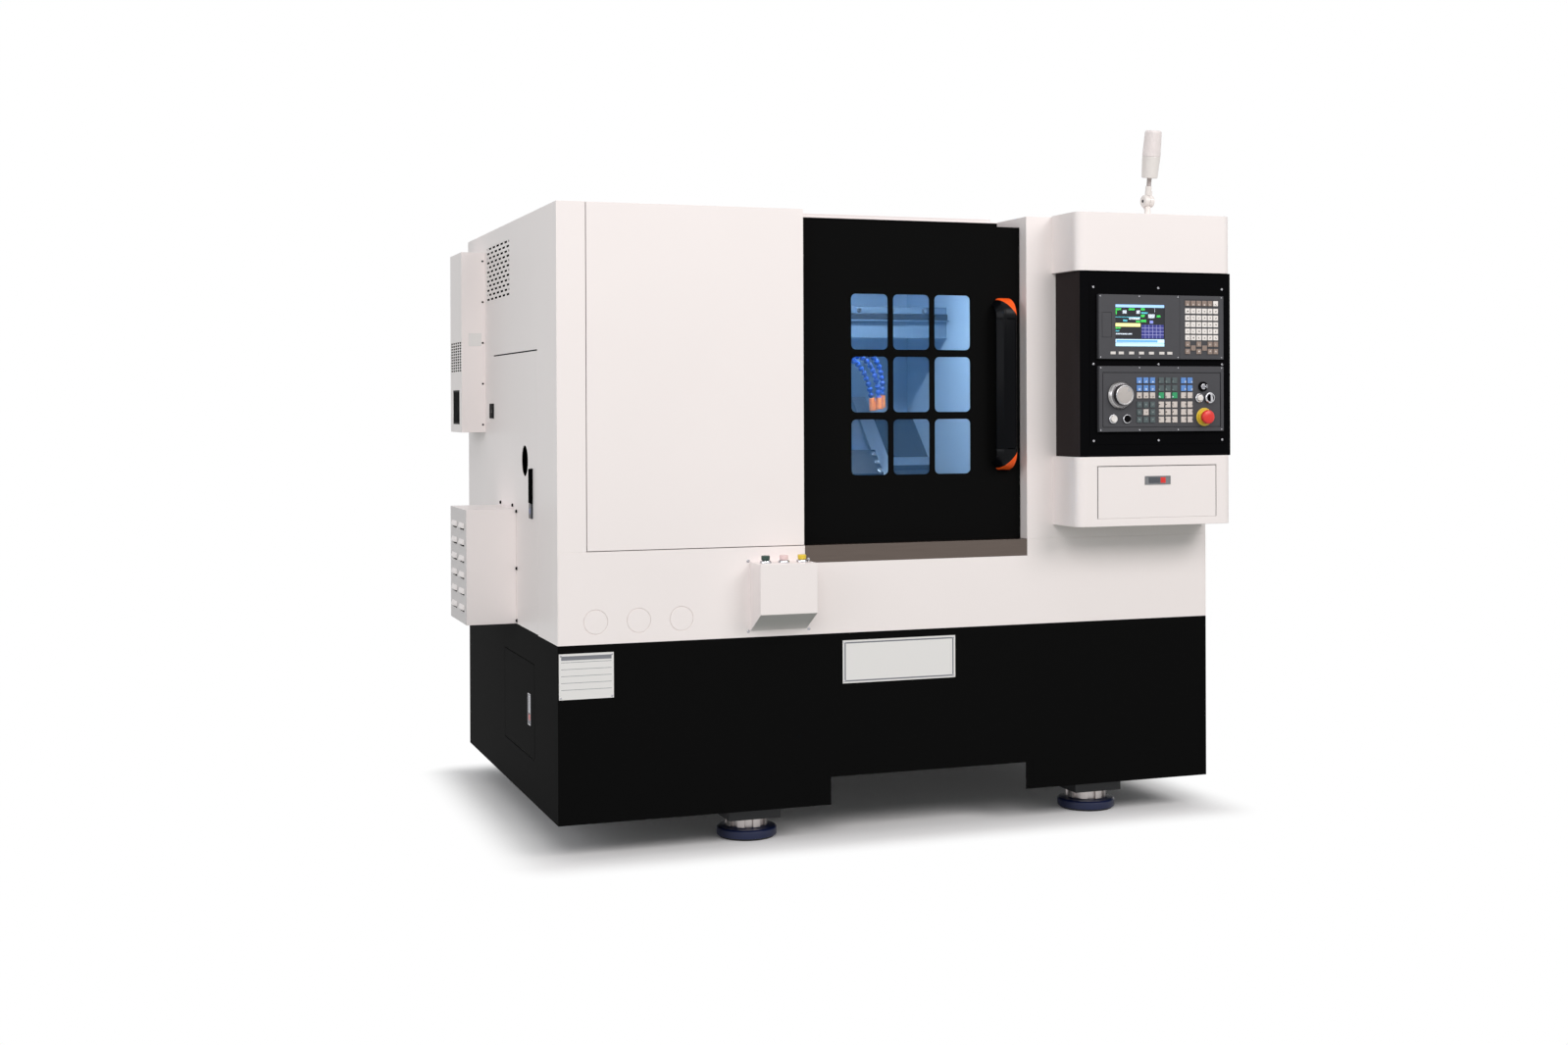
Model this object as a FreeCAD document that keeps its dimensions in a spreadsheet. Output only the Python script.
import FreeCAD, Part
import math
import os
import Sketcher

# Slant-bed turning lathe, in millimetres. +X runs from the headstock end to the tailstock end,
# +Y from the operator's side to the back and +Z up, with the origin on the floor under the
# middle of the machine.

os.makedirs("parts", exist_ok=True)
doc = FreeCAD.newDocument("turning_lathe")
sheet = doc.addObject("Spreadsheet::Sheet", "Sizes")
places = [doc.addObject("App::VarSet", "Places")]

SIZES = {
    # the body: black skirt, fascia above it and the white upper enclosure
    "body_width": 1950,
    "body_depth": 1300,
    "floor_gap": 98,
    "skirt_height": 470,
    "fascia_height": 243,
    "upper_height": 919,
    "gauge": 3,
    "panel_seam": 2,
    "sliding_gap": 0.5,
    "fit_gap": 0.3,
    "running_gap": 0.05,
    # skirt: arch for lifting forks in front, access door on the left end
    "arch_left": 762,
    "arch_width": 595,
    "arch_height": 76,
    "base_door_setback": 290,
    "base_door_width": 418,
    "base_door_rise": 119,
    "base_door_height": 266,
    "base_latch_width": 34,
    "base_latch_height": 88,
    "base_latch_proud": 1.5,
    "base_latch_body": 12,
    "base_thumb_rim": 6,
    "base_thumb_end": 8,
    "base_thumb_sink": 1.9,
    # levelling feet
    "foot_inset": 565,
    "foot_span": 1063,
    "foot_setback": 146,
    "pad_radius": 84,
    "pad_height": 32,
    "nut_radius": 60,
    "nut_root": 49,
    "nut_height": 26,
    "lug_side": 150,
    # cast base and slant bed, measured along and square to the slope from the spindle axis
    "slant_angle": 45,
    "spindle_height": 1041,
    "spindle_setback": 410,
    "base_left": 140,
    "base_right": 60,
    "base_front": 65,
    "base_back": 65,
    "base_height": 202,
    "core_wall": 60,
    "core_setback": 150,
    "core_depth": 90,
    "bed_left": 400,
    "bed_drop": 230,
    "bed_foot": 430,
    "bed_head": 400,
    "bed_crown": 65,
    "pedestal_width": 235,
    "pedestal_head": 60,
    "motor_plate": 15,
    # headstock and spindle
    "headstock_left": 200,
    "headstock_length": 370,
    "headstock_foot": 170,
    "headstock_half": 115,
    "headstock_shoulder": 88,
    "spindle_radius": 60,
    "bore_radius": 23,
    "spindle_tail": 165,
    "nose_radius": 70,
    "nose_length": 30,
    "chuck_radius": 85,
    "chuck_length": 85,
    "jaw_width": 26,
    "jaw_height": 44,
    "jaw_reach": 30,
    "jaw_inner": 27,
    "pulley_gap": 30,
    "pulley_width": 50,
    "spindle_pulley_radius": 80,
    "motor_pulley_radius": 55,
    "motor_back": 255,
    "motor_drop": 311,
    "motor_side": 200,
    "motor_length": 205,
    "motor_chamfer": 28,
    "motor_shaft": 19,
    "belt_thickness": 6,
    "belt_gap": 1.2,
    # rails, ball screw, saddle and cross slide, on the slope
    "rail_left": 600,
    "rail_length": 775,
    "rail_width": 35,
    "rail_height": 25,
    "rail_low": -150,
    "rail_high": 170,
    "screw_radius": 14,
    "screw_across": 10,
    "screw_lift": 22,
    "screw_block_width": 60,
    "screw_block_height": 38,
    "screw_block_length": 25,
    "nut_block_width": 46,
    "nut_block_length": 60,
    "nut_block_lift": 4,
    "saddle_left": 770,
    "saddle_width": 410,
    "saddle_low": -230,
    "saddle_high": 250,
    "saddle_thickness": 45,
    "block_length": 90,
    "block_width": 66,
    "block_lift": 8,
    "way_height": 30,
    "way_width": 45,
    "slide_left": 800,
    "slide_width": 350,
    "slide_low": -170,
    "slide_high": 330,
    "slide_thickness": 40,
    "slide_drop": 75,
    "slot_count": 4,
    "slot_pitch": 80,
    "slot_mouth": 14,
    "slot_undercut": 24,
    "slot_neck": 10,
    "slot_depth": 20,
    "tool_left": 150,
    "tool_width": 130,
    "tool_low": -60,
    "tool_length": 100,
    "tool_height": 62,
    "tool_pocket_start": 14,
    "tool_pocket_pitch": 43,
    "tool_pocket_width": 28,
    "tool_pocket_lift": 21.7,
    "tool_pocket_height": 24.8,
    "hose_radius": 9,
    "hose_left": 70,
    "hose_low": -20,
    "hose_pitch": 34,
    "hose_height": 110,
    "nozzle_length": 26,
    # chamber liner
    "liner_left": 588,
    "liner_right": 1380,
    "liner_back": 890,
    "liner_top": 1590,
    "liner_nose_hole": 92,
    "liner_front_drop": 42,
    "tray_lip": 60,
    "tray_lip_height": 742,
    "tray_run": 160,
    "tray_height": 590,
    "light_setback": 120,
    "light_slant": 12,
    "light_width": 420,
    "light_depth": 60,
    "light_height": 22,
    # upper enclosure panels
    "corner_strip": 78,
    "cover_right": 686,
    "cover_depth": 30,
    "column_left": 1363,
    "side_door_setback": 240,
    "side_door_width": 624,
    "side_door_height": 780,
    "bar_hole_radius": 43.5,
    "lever_setback": 319,
    "lever_width": 34,
    "lever_bottom": 785,
    "lever_height": 139,
    "lever_pocket": 14,
    "lever_gap": 1,
    "lever_edge": 3,
    "vent_back": 622,
    "vent_span": 322,
    "vent_rise": 1422,
    "vent_height": 161,
    "vent_rows": 4,
    "vent_slots": 4,
    "vent_slot_height": 7,
    "vent_slot_width": 46.69,
    "vent_stagger": 32.2,
    "hinge_tag_height": 45,
    "hinge_tag_width": 57,
    "hinge_tag_rise": 1060,
    "hinge_tag_low": 560,
    "rear_door_left": 520,
    "rear_door_width": 900,
    "rear_door_rise": 40,
    "rear_door_height": 1000,
    "recess_depth": 190,
    "hatch_height": 9,
    "hatch_left_gap": 60,
    "hatch_right_gap": 20,
    "hatch_depth": 380,
    # cabinet cooler and vent box on the left side
    "cooler_setback": 1002,
    "cooler_depth": 203,
    "cooler_reach": 74,
    "cooler_rise": 1016,
    "cooler_height": 559,
    "cooler_hole_rows": 6,
    "cooler_hole_columns": 4,
    "cooler_hole_width": 16,
    "cooler_hole_height": 4,
    "cooler_hole_setback": 25.375,
    "cooler_hole_pitch": 44.66,
    "cooler_hole_rise": 190.06,
    "cooler_hole_span": 86.645,
    "grille_setback": 40.6,
    "grille_rise": 25.155,
    "grille_width": 115.71,
    "grille_height": 106.21,
    "grille_bars": 6,
    "vent_box_reach": 150,
    "vent_box_setback": 533,
    "vent_box_depth": 264,
    "vent_box_height": 329,
    "louvre_rows": 6,
    "louvre_height": 16,
    "louvre_reach": 6,
    "louvre_setback": 29.04,
    "louvre_width": 84.48,
    "louvre_pitch_across": 121.44,
    # sliding door
    "door_plane": 40,
    "door_left": 664,
    "door_top": 1604,
    "door_thickness": 20,
    "door_rim": 28,
    "window_left": 842,
    "window_bottom": 901,
    "window_width": 110,
    "window_height": 155,
    "window_pitch_across": 126.4,
    "window_pitch_up": 175,
    "window_radius": 14,
    "pane_margin": 18,
    "pane_thickness": 6,
    "handle_left": 1266,
    "handle_width": 62,
    "handle_bottom": 910,
    "handle_height": 490,
    "handle_reach": 58,
    "handle_grip": 24,
    "handle_cap": 52,
    "handle_edge": 10,
    "cap_foot": 26,
    "cap_inner": 4,
    "cap_corner": 8,
    "sill_left": 688,
    "sill_height": 47.5,
    "sill_depth": 66,
    "sill_lip": 12,
    "guide_drop": 42,
    # button box
    "button_box_left": 530,
    "button_box_width": 162,
    "button_box_reach": 86,
    "button_box_bottom": 487,
    "button_box_height": 186,
    "button_box_slope": 51,
    "box_button_radius": 11,
    "box_button_height": 13,
    "box_button_pitch": 52,
    # control cabinet
    "control_left": 1444,
    "control_right_inset": 5,
    "control_depth": 140,
    "housing_proud": 8,
    "housing_radius": 26,
    "lower_housing_rise": 752,
    "lower_housing_height": 196,
    "control_rise": 948,
    "control_height": 522.5,
    "upper_housing_height": 164.5,
    "control_inset": 12,
    "flap_left": 1507.5,
    "flap_width": 385,
    "flap_rise": 774,
    "flap_height": 148,
    "flap_latch_width": 82,
    "flap_latch_height": 24,
    "flap_latch_rise": 94,
    "unit_left": 1511,
    "unit_width": 404,
    "unit_rise": 1223.5,
    "unit_height": 181,
    "bezel_depth": 12,
    "screen_left": 53,
    "screen_width": 158,
    "screen_rise": 35.5,
    "screen_height": 118,
    "screen_sink": 3,
    "key_side": 14,
    "key_depth": 1.6,
    "keypad_left": 276,
    "keypad_rise": 13,
    "keypad_pitch": 18.3,
    "keypad_columns": 6,
    "keypad_rows": 8,
    "soft_key_left": 35,
    "soft_key_rise": 11.5,
    "soft_key_width": 17,
    "soft_key_height": 7,
    "soft_key_pitch": 30.6,
    "soft_keys": 7,
    "panel_rise": 1018.5,
    "panel_height": 184.5,
    "panel_key_left": 120,
    "panel_key_rise": 25.5,
    "panel_key_pitch": 21.4,
    "panel_group_pitch": 71.5,
    "panel_key_gap": 4.7,
    "wheel_across": 67.5,
    "wheel_rise": 103,
    "wheel_radius": 40.5,
    "wheel_height": 28,
    "start_across": 44,
    "hold_across": 88,
    "button_rise": 36,
    "button_radius": 11,
    "button_height": 9,
    "stop_across": 340,
    "stop_rise": 40,
    "stop_radius": 20,
    "stop_head": 14,
    "stop_gap": 9,
    "stem_radius": 9,
    "control_gap": 0.5,
    "stem_length": 9,
    "key_reach": 14,
    "key_thickness": 2,
    "latch_proud": 2,
    "latch_rim": 4,
    "bezel_edge": 3,
    "key_switch_across": 335,
    "key_switch_rise": 127,
    "selector_across": 356,
    "selector_rise": 95,
    "selector_radius": 15,
    "selector_height": 16,
    # signal lamp
    "lamp_across": 1725,
    "lamp_forward": 55,
    "lamp_lean": 10,
    "lamp_knuckle_rise": 46,
    "lamp_knuckle_radius": 18,
    "lamp_knuckle_width": 15,
    "lamp_neck_radius": 9,
    "lamp_neck_height": 44,
    "lamp_rod_radius": 5.5,
    "lamp_rod_top": 67,
    "lamp_base_top": 129,
    "lamp_low_radius": 25,
    "lamp_radius": 26,
    "lamp_top": 203,
    "lamp_crown": 3,
    # service pieces inside
    "tank_left": 620,
    "tank_length": 900,
    "tank_depth": 190,
    "tank_height": 210,
    "plate_left": 440,
    "plate_length": 880,
    "plate_rise": 520,
    "plate_height": 470,
    "drive_count": 4,
    "drive_width": 110,
    "drive_height": 300,
    "drive_depth": 150,
}

# Sides of the round outlines, from the chuck down to the stem of a button.
CHUCK_SIDES = 36
PAD_SIDES = 24
BUTTON_SIDES = 16
STEM_SIDES = 12


class Dim:
    """A length that knows its number and the formula that gives it from the sheet."""

    def __init__(self, number, formula):
        self.number = number
        self.formula = formula

    @staticmethod
    def of(value):
        return value if isinstance(value, Dim) else Dim(float(value), f"{float(value):g}")

    def join(self, other, sign, number):
        return Dim(number, f"({self.formula} {sign} {other.formula})")

    def __add__(self, other):
        other = Dim.of(other)
        return self.join(other, "+", self.number + other.number)

    def __sub__(self, other):
        other = Dim.of(other)
        return self.join(other, "-", self.number - other.number)

    def __mul__(self, other):
        other = Dim.of(other)
        return self.join(other, "*", self.number * other.number)

    def __truediv__(self, other):
        other = Dim.of(other)
        return self.join(other, "/", self.number / other.number)

    def __radd__(self, other):
        return Dim.of(other) + self

    def __rsub__(self, other):
        return Dim.of(other) - self

    def __rmul__(self, other):
        return Dim.of(other) * self

    def __neg__(self):
        return Dim.of(0) - self


class Sizes:
    """Every driving size of the sheet, by name."""


for row, (name, value) in enumerate(SIZES.items(), 1):
    sheet.set(f"A{row}", name)
    sheet.set(f"B{row}", str(value))
    sheet.setAlias(f"B{row}", name)
    setattr(Sizes, name, Dim(float(value), "Sizes." + name))
S = Sizes
doc.recompute()


def place(name, value):
    """A place worked out from the sizes, kept under its own name for the formulas that use it."""
    places[-1].addProperty("App::PropertyFloat", name)
    places[-1].setExpression(name, value.formula)
    return Dim(value.number, f"{places[-1].Name}.{name}")


def bind(thing, path, value):
    thing.setExpression(path, Dim.of(value).formula)


class Outline:
    """Closed loops for one sketch, each held by sizes from the sheet."""

    def __init__(self):
        self.edges = []
        self.rules = []
        self.sizes = []

    def size(self, rule, *where, value):
        value = Dim.of(value)
        self.sizes.append((len(self.rules), value.formula))
        self.rules.append(Sketcher.Constraint(rule, *where, value.number))

    def pin(self, edge, point, across, up):
        self.size("DistanceX", -1, 1, edge, point, value=across)
        self.size("DistanceY", -1, 1, edge, point, value=up)

    def polygon(self, *corners):
        first = len(self.edges)
        count = len(corners)
        spots = [FreeCAD.Vector(Dim.of(a).number, Dim.of(b).number, 0) for a, b in corners]
        for i in range(count):
            self.edges.append(Part.LineSegment(spots[i], spots[(i + 1) % count]))
            self.rules.append(Sketcher.Constraint("Coincident", first + i, 2, first + (i + 1) % count, 1))
        for i, (across, up) in enumerate(corners):
            self.pin(first + i, 1, across, up)
        return self

    def rectangle(self, across, up, wide, high):
        right, top = across + wide, up + high
        return self.polygon((across, up), (right, up), (right, top), (across, top))

    def strip(self, thick, *points):
        """A folded sheet seen end on: the points of one face, and the other face below it."""
        return self.polygon(*points, *[(across, up - thick) for across, up in reversed(points)])

    def circle(self, across, up, radius):
        across, up, radius = Dim.of(across), Dim.of(up), Dim.of(radius)
        ring = len(self.edges)
        centre = FreeCAD.Vector(across.number, up.number, 0)
        self.edges.append(Part.Circle(centre, FreeCAD.Vector(0, 0, 1), radius.number))
        self.pin(ring, 3, across, up)
        self.size("Radius", ring, value=radius)
        return self

    def arc(self, across, up, radius, start, end, steps):
        """The corners of an arc between two angles, in equal steps."""
        turns = [start + (end - start) * i / steps for i in range(steps + 1)]
        return [(across + radius * math.cos(turn), up + radius * math.sin(turn)) for turn in turns]

    def many_sided(self, across, up, radius, sides):
        """A round outline drawn with so many equal sides."""
        return self.polygon(*self.arc(across, up, radius, 0, 2 * math.pi, sides)[:-1])

    def rounded(self, across, up, wide, high, radius, steps=2):
        """A rectangle with four round corners."""
        corners = []
        for i, (x, y) in enumerate([(wide - radius, radius), (wide - radius, high - radius),
                                    (radius, high - radius), (radius, radius)]):
            corners += self.arc(across + x, up + y, radius, (i - 1) * math.pi / 2, i * math.pi / 2, steps)
        return self.polygon(*corners)

    def belt(self, across, up, radius, across_to, up_to, radius_to, steps=12):
        """The line of a belt round two pulleys: an arc round each, joined by two straight runs."""
        run_x, run_y = across_to.number - across.number, up_to.number - up.number
        heading = math.atan2(run_y, run_x)
        wrap = math.acos((radius.number - radius_to.number) / math.hypot(run_x, run_y))
        near = self.arc(across, up, radius, heading + wrap, heading - wrap + 2 * math.pi, steps)
        far = self.arc(across_to, up_to, radius_to, heading - wrap, heading + wrap, steps)
        return self.polygon(*near, *far)

    def draw(self, sketch):
        sketch.addGeometry(self.edges, False)
        sketch.addConstraint(self.rules)
        for number, formula in self.sizes:
            sketch.setExpression(f"Constraints[{number}]", formula)


pieces = []


class Piece:
    """One sub-part: a body whose sketches lie on its own origin planes.

    It is drawn in the machine's frame, or in a frame of its own on the slope.
    The places worked out after it go into a set of their own, so that a new place doesn't have the
    earlier pieces solved again.
    """

    def __init__(self, label, origin=None, tilt=None):
        self.label = label
        self.body = doc.addObject("PartDesign::Body", label)
        self.steps = 0
        if origin is not None:
            for axis, value in zip("xyz", origin):
                bind(self.body, f"Placement.Base.{axis}", value)
        if tilt is not None:
            self.body.Placement = FreeCAD.Placement(
                self.body.Placement.Base, FreeCAD.Rotation(FreeCAD.Vector(1, 0, 0), tilt.number))
            self.body.setExpression("Placement.Rotation.Angle", f"{tilt.formula} * 1 deg")
        pieces.append(self)
        places.append(doc.addObject("App::VarSet", "After_" + label))

    def datum(self, role):
        return next(f for f in self.body.Origin.OriginFeatures if f.Role == role)

    def feature(self, kind, name):
        return self.body.newObject(f"PartDesign::{kind}", f"{self.label}_{name}_{self.steps}")

    def sketch(self, plane, level, outline, shift=(0, 0)):
        self.steps += 1
        sketch = self.body.newObject("Sketcher::SketchObject", f"{self.label}_sketch_{self.steps}")
        sketch.AttachmentSupport = [(self.datum(plane + "_Plane"), "")]
        sketch.MapMode = "FlatFace"
        bind(sketch, "AttachmentOffset.Base.x", shift[0])
        bind(sketch, "AttachmentOffset.Base.y", shift[1])
        bind(sketch, "AttachmentOffset.Base.z", -Dim.of(level) if plane == "XZ" else level)
        outline.draw(sketch)
        return sketch

    def pad(self, plane, low, thick, outline):
        """Adds material from low to low + thick along the plane's own axis."""
        pad = self.feature("Pad", "pad")
        pad.Profile = self.sketch(plane, low, outline)
        bind(pad, "Length", thick)
        pad.Reversed = plane == "XZ"
        self.last = pad
        return self

    def pocket(self, plane, low, thick, outline):
        """Takes material away from low to low + thick along the plane's own axis."""
        doc.recompute()
        before = self.body.Shape.Volume
        profile = self.sketch(plane, low, outline)
        pocket = self.feature("Pocket", "pocket")
        pocket.Profile = profile
        bind(pocket, "Length", thick)
        pocket.Reversed = plane != "XZ"
        doc.recompute()
        if not self.body.Shape.Volume < before:
            raise ValueError(f"{pocket.Name} cuts nothing")
        self.last = pocket
        return self

    def turn(self, profile, centre):
        """Turns a profile of (along, radius) points round the line along X through a (Y, Z) centre."""
        across, up = centre
        sketch = self.sketch("XY", up, Outline().polygon(*profile), (0, across))
        turned = self.feature("Revolution", "turn")
        turned.Profile = sketch
        turned.ReferenceAxis = (sketch, ["H_Axis"])
        turned.Angle = 360
        return self

    def repeat(self, axis, span, count):
        """Repeats the last feature along an axis, count times over the span."""
        row = self.feature("LinearPattern", "row")
        row.Originals = [self.last]
        row.Direction = (self.datum(axis + "_Axis"), [""])
        bind(row, "Length", span)
        bind(row, "Occurrences", count)
        self.body.Tip = row
        doc.recompute()
        return self

    def fillet(self, radius, chosen, kind="Fillet"):
        """Rounds, or chamfers, the edges that the test chooses."""
        doc.recompute()
        names = [f"Edge{i}" for i, edge in enumerate(self.body.Shape.Edges, 1) if chosen(edge)]
        base = self.body.Tip
        soft = self.feature(kind, "edges")
        soft.Base = (base, names)
        bind(soft, "Radius" if kind == "Fillet" else "Size", radius)
        self.body.Tip = soft
        return self


def upright(edge):
    """True for a straight edge along Z."""
    return isinstance(edge.Curve, Part.Line) and abs(edge.tangentAt(edge.FirstParameter).z) > 0.999


# Levels and faces of the whole machine.
reach = place("reach", S.control_depth + S.bezel_depth + S.wheel_height)
left = place("left", (S.vent_box_reach - S.body_width) / 2)
right = place("right", left + S.body_width)
front = place("front", (reach - S.body_depth) / 2)
back = place("back", front + S.body_depth)
skirt_z = place("skirt_z", S.floor_gap)
belt_z = place("belt_z", skirt_z + S.skirt_height)
sill_z = place("sill_z", belt_z + S.fascia_height)
top_z = place("top_z", sill_z + S.upper_height)
inner_left = place("inner_left", left + S.gauge)
inner_right = place("inner_right", right - S.gauge)
inner_back = place("inner_back", back - S.gauge)

# Spindle axis, and the slope that the bed, rails and slides lie on. A piece on the slope is drawn
# in a frame of its own: X along the spindle, Y up the slope and Z square out of it.
axis_y = place("axis_y", front + S.spindle_setback)
axis_z = place("axis_z", S.spindle_height)
slope = {"origin": (0, axis_y, axis_z), "tilt": S.slant_angle}
slant_turn = math.radians(S.slant_angle.number)
slant_cos = place("slant_cos", Dim(math.cos(slant_turn), f"cos({S.slant_angle.formula} * 1 deg)"))
slant_sin = place("slant_sin", Dim(math.sin(slant_turn), f"sin({S.slant_angle.formula} * 1 deg)"))


def on_slope(along, out):
    """The (Y, Z) of a point on the slope, up it by along and square out of it by out."""
    return (axis_y + along * slant_cos - out * slant_sin, axis_z + along * slant_sin + out * slant_cos)


# Black sheet-steel skirt round the base, open below, with the arch in front for lifting forks
# and the opening of the access door on its left end.
base_door_y = place("base_door_y", front + S.base_door_setback)
base_door_z = place("base_door_z", skirt_z + S.base_door_rise)
skirt = Piece("base_skirt")
wall = Outline().rectangle(left, front, S.body_width, S.body_depth)
wall.rectangle(inner_left, front + S.gauge, S.body_width - 2 * S.gauge, S.body_depth - 2 * S.gauge)
skirt.pad("XY", skirt_z, S.skirt_height, wall)
arch = Outline().rectangle(left + S.arch_left, skirt_z - 1, S.arch_width, S.arch_height + 1)
skirt.pocket("XZ", front - 1, S.gauge + 2, arch)
doorway = Outline().rectangle(base_door_y, base_door_z, S.base_door_width, S.base_door_height)
skirt.pocket("YZ", left - 1, S.gauge + 2, doorway)

# Access door in the skirt's left end, hinged at its back edge, with its flush latch.
base_door = Piece("base_access_door")
leaf = Outline().rectangle(base_door_y + S.panel_seam, base_door_z + S.panel_seam,
                           S.base_door_width - S.panel_seam - S.fit_gap,
                           S.base_door_height - 2 * S.panel_seam)
base_door.pad("YZ", left, S.gauge, leaf)
latch_y = place("latch_y", base_door_y + 2 * S.base_latch_width - S.base_latch_width / 2)
latch_z = place("latch_z", base_door_z + (S.base_door_height - S.base_latch_height) / 2)
latch_hole = Outline().rectangle(latch_y, latch_z, S.base_latch_width, S.base_latch_height)
base_door.pocket("YZ", left - 1, S.gauge + 2, latch_hole)
base_latch = Piece("base_door_latch")
latch_face = left - S.base_latch_proud
base_latch.pad("YZ", latch_face, S.gauge + S.base_latch_body, latch_hole)
thumb = Outline().rectangle(latch_y + S.base_thumb_rim, latch_z + S.base_thumb_end,
                            S.base_latch_width - 2 * S.base_thumb_rim,
                            S.base_latch_height - 2 * S.base_thumb_end)
base_latch.pocket("YZ", latch_face - 1, S.base_thumb_sink + 1, thumb)

# Cast-iron base: a cored block with a lug over each foot, the wedge of the slant bed, the pedestal
# under the headstock and the upright plate that the spindle motor bolts to.
base_x = place("base_x", left + S.base_left)
base_y = place("base_y", front + S.base_front)
base_length = place("base_length", S.body_width - S.base_left - S.base_right)
base_depth = place("base_depth", S.body_depth - S.base_front - S.base_back)
base_low = place("base_low", skirt_z + S.arch_height)
base_top = place("base_top", skirt_z + S.base_height)
bed_x = place("bed_x", left + S.bed_left)
foot_y, foot_z = on_slope(-S.bed_foot, -S.bed_drop)
head_y, head_z = on_slope(S.bed_head, -S.bed_drop)
pedestal_y, pedestal_z = on_slope(-S.pedestal_head, -S.bed_drop)
motor_y = place("motor_y", axis_y + S.motor_back)
motor_z = place("motor_z", axis_z - S.motor_drop)
motor_x = place("motor_x", base_x + S.pulley_gap + S.motor_plate)
casting = Piece("base_casting")
casting.pad("XY", base_low, base_top - base_low,
            Outline().rectangle(base_x, base_y, base_length, base_depth))
cores = Outline()
for i in range(3):
    bay = (base_length - 4 * S.core_wall) / 3
    cores.rectangle(base_x + S.core_wall + i * (bay + S.core_wall), base_y + S.core_setback,
                    bay, base_depth - 2 * S.core_setback)
casting.pocket("XY", base_low - 1, S.core_depth + 1, cores)
wedge = Outline().polygon((foot_y, base_top), (foot_y, foot_z), (head_y, head_z),
                          (head_y + S.bed_crown, head_z), (head_y + 2 * S.bed_crown, head_z - S.bed_crown),
                          (head_y + 2 * S.bed_crown, base_top))
casting.pad("YZ", bed_x, right - S.base_right - bed_x, wedge)
pedestal = Outline().polygon(
    (foot_y, base_top), (foot_y, foot_z), (pedestal_y, pedestal_z), (pedestal_y, base_top))
casting.pad("YZ", bed_x - S.pedestal_width, S.pedestal_width, pedestal)
casting.pad("YZ", motor_x - S.motor_plate, S.motor_plate,
            Outline().rectangle(motor_y - S.motor_side / 2, base_top, S.motor_side,
                                motor_z + S.motor_side / 2 - base_top))
shaft_hole = Outline().circle(motor_y, motor_z, S.motor_shaft + 2 * S.fit_gap)
casting.pocket("YZ", motor_x - S.motor_plate - 1, S.motor_plate + 2, shaft_hole)
lug_z = place("lug_z", S.pad_height + S.nut_height)
feet = [(left + S.foot_inset + i * S.foot_span, side)
        for side in (front + S.foot_setback, back - S.foot_setback) for i in range(2)]
lugs = Outline()
for x, y in feet:
    lugs.rectangle(x - S.lug_side / 2, y - S.lug_side / 2, S.lug_side, S.lug_side)
casting.pad("XY", lug_z, base_low - lug_z, lugs)

# Levelling feet: a round pad on the floor and a lobed nut under each lug of the casting.
pads = Outline()
for x, y in feet:
    pads.many_sided(x, y, S.pad_radius, PAD_SIDES)
Piece("levelling_pads").pad("XY", 0, S.pad_height, pads)
LOBES = 8
nuts = Piece("levelling_nuts")
for x, y in feet[::2]:
    corners = []
    for i in range(2 * LOBES):
        radius = S.nut_radius if i % 2 == 0 else S.nut_root
        angle = math.pi * i / LOBES
        corners.append((x + radius * math.cos(angle), y + radius * math.sin(angle)))
    nuts.pad("XY", S.pad_height, S.nut_height, Outline().polygon(*corners))
    nuts.repeat("X", S.foot_span, 2)

# Headstock casting on the slope, bored for the spindle.
headstock_x = place("headstock_x", left + S.headstock_left)
headstock = Piece("headstock", **slope)
step = S.headstock_foot - S.headstock_half
housing = Outline().polygon(
    (-S.headstock_foot, -S.bed_drop), (S.headstock_foot, -S.bed_drop),
    (S.headstock_foot, -S.bed_drop + step), (S.headstock_half, S.headstock_shoulder - S.bed_drop),
    (S.headstock_half, S.headstock_half - step), (S.headstock_half - step, S.headstock_half),
    (step - S.headstock_half, S.headstock_half), (-S.headstock_half, S.headstock_half - step),
    (-S.headstock_half, S.headstock_shoulder - S.bed_drop), (-S.headstock_foot, -S.bed_drop + step))
housing.circle(0, 0, S.spindle_radius + S.running_gap)
headstock.pad("YZ", headstock_x, S.headstock_length, housing)

# Hollow spindle with its nose flange and belt pulley, and the three-jaw chuck with its jaws.
nose_x = place("nose_x", headstock_x + S.headstock_length + S.fit_gap)
tail_x = place("tail_x", headstock_x - S.spindle_tail)
chuck_x = place("chuck_x", nose_x + S.nose_length)
pulley_x = place("pulley_x", motor_x - S.motor_plate - S.pulley_gap / 2 - S.pulley_width)
pulley_end = place("pulley_end", pulley_x + S.pulley_width)
spindle = Piece("spindle")
spindle.turn([(tail_x, S.bore_radius), (tail_x, S.spindle_radius), (chuck_x, S.spindle_radius),
              (chuck_x, S.bore_radius)], (axis_y, axis_z))
for low, thick, radius in ((pulley_x, S.pulley_width, S.spindle_pulley_radius),
                           (nose_x, S.nose_length, S.nose_radius)):
    ring = Outline().many_sided(axis_y, axis_z, radius, CHUCK_SIDES).circle(axis_y, axis_z, S.spindle_radius)
    spindle.pad("YZ", low, thick, ring)
chuck = Piece("chuck")
chuck.pad("YZ", chuck_x, S.chuck_length, Outline().many_sided(
    axis_y, axis_z, S.chuck_radius, CHUCK_SIDES).circle(axis_y, axis_z, S.bore_radius))
jaws = Outline()
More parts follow.
